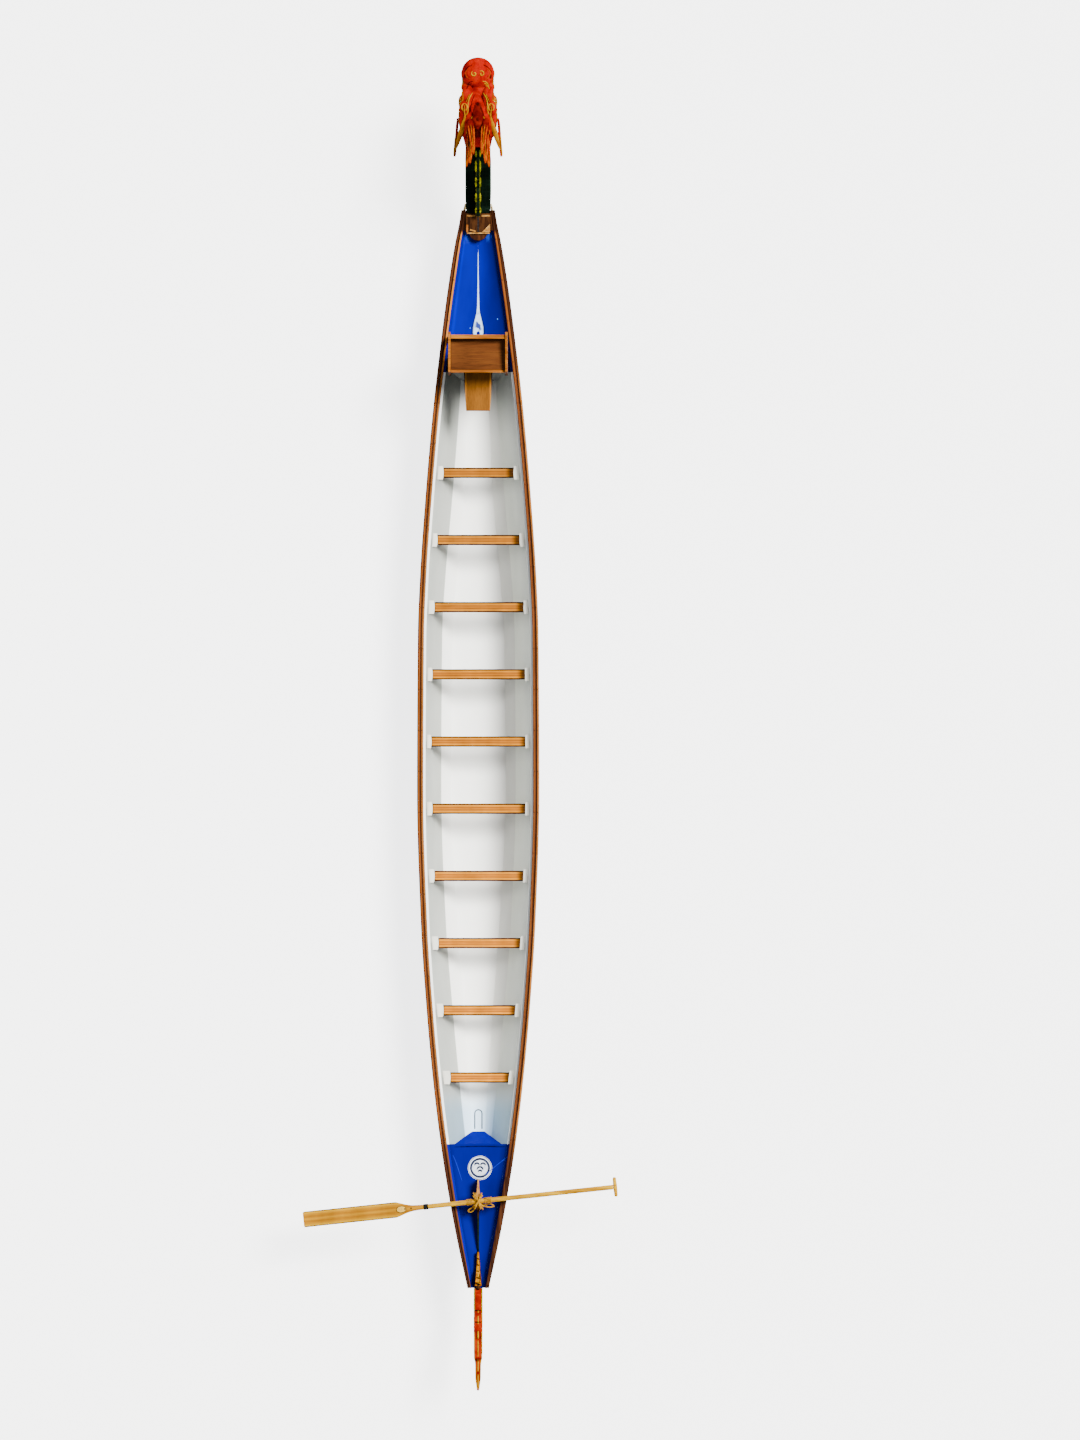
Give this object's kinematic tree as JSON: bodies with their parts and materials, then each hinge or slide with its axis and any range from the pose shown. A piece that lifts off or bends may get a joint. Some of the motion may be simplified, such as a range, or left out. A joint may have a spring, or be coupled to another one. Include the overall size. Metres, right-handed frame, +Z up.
{
  "type": "dragon boat",
  "caption": "Open paddling boat with cross benches, a drummer's seat, a dragon head and tail and a steering oar lashed at the stern.",
  "frame": {"origin": "on the centreline amidships, on the flat stretch of the bottom that the boat stands on", "axes": "+X towards the bow and the dragon's head, +Y to port, +Z up"},
  "size_m": [14.801, 3.5107, 2.1812],
  "materials": {
    "hull_blue": "glossy moulded shell, blue outside and white inside",
    "deck_blue": "glossy blue",
    "rail_dark": "dark varnished timber",
    "rail_light": "lighter varnished timber",
    "bench_wood": "golden varnished timber",
    "seat_wood": "brown varnished planks",
    "oar_wood": "pale varnished timber",
    "dragon_green": "dark green gloss with yellow edges",
    "dragon_red": "red gloss with gold edges",
    "rope": "twisted natural rope",
    "bracket_plate": "cream plate with dark bolts",
    "dark_band": "dark wrapped band"
  },
  "bodies": {
    "boat": {"hull_floor_bow": "hull_blue", "hull_floor_fore": "hull_blue", "hull_floor_mid": "hull_blue", "hull_floor_aft": "hull_blue", "hull_floor_post": "hull_blue", "hull_floor_stern": "hull_blue", "hull_bilge_port": "hull_blue", "hull_bilge_starboard": "hull_blue", "hull_side_port": "hull_blue", "hull_side_starboard": "hull_blue", "bow_plate": "hull_blue", "stern_plate": "hull_blue", "fore_deck": "deck_blue", "aft_deck": "deck_blue", "fore_bulkhead": "deck_blue", "aft_bulkhead": "deck_blue", "outwale_port": "rail_dark", "outwale_starboard": "rail_dark", "inwale_port": "rail_light", "inwale_starboard": "rail_light", "rail_board_starboard": "rail_dark", "bench_01": "bench_wood", "bench_02": "bench_wood", "bench_03": "bench_wood", "bench_04": "bench_wood", "bench_05": "bench_wood", "bench_06": "bench_wood", "bench_07": "bench_wood", "bench_08": "bench_wood", "bench_09": "bench_wood", "bench_10": "bench_wood", "seat_side_port": "seat_wood", "seat_side_starboard": "seat_wood", "seat_board": "seat_wood", "seat_front_panel": "seat_wood", "seat_aft_rail": "seat_wood", "seat_cross_panel": "seat_wood", "footrest_board": "bench_wood", "neck_step": "seat_wood", "step_round": "rail_dark", "neck_bracket_port": "bracket_plate", "neck_bracket_starboard": "bracket_plate", "dragon_neck": "dragon_green", "neck_crest": "dragon_green", "dragon_head": "dragon_red", "lower_jaw": "dragon_red", "tongue": "dragon_red", "mane_port": "dragon_red", "mane_starboard": "dragon_red", "collar_port": "dragon_red", "collar_starboard": "dragon_red", "oar_post": "bench_wood", "tail_root": "dragon_green", "tail_base": "dragon_green", "tail_flame": "dragon_red"},
    "lashing": {"oar_lashing": "rope"},
    "oar": {"oar_shaft": "oar_wood", "oar_blade": "oar_wood", "oar_grip": "oar_wood", "oar_band": "dark_band"}
  },
  "joints": [
    {"name": "oar_yaw", "type": "hinge", "parent": "boat", "child": "lashing", "pos_m": [-5.01, 0, 1], "axis": [0, 0, 1], "range_deg": [-20, 45]},
    {"name": "oar_dip", "type": "hinge", "parent": "lashing", "child": "oar", "pos_m": [-5.01, 0, 1], "axis": [0.9945, 0.1045, 0], "range_deg": [-10, 10]}
  ]
}
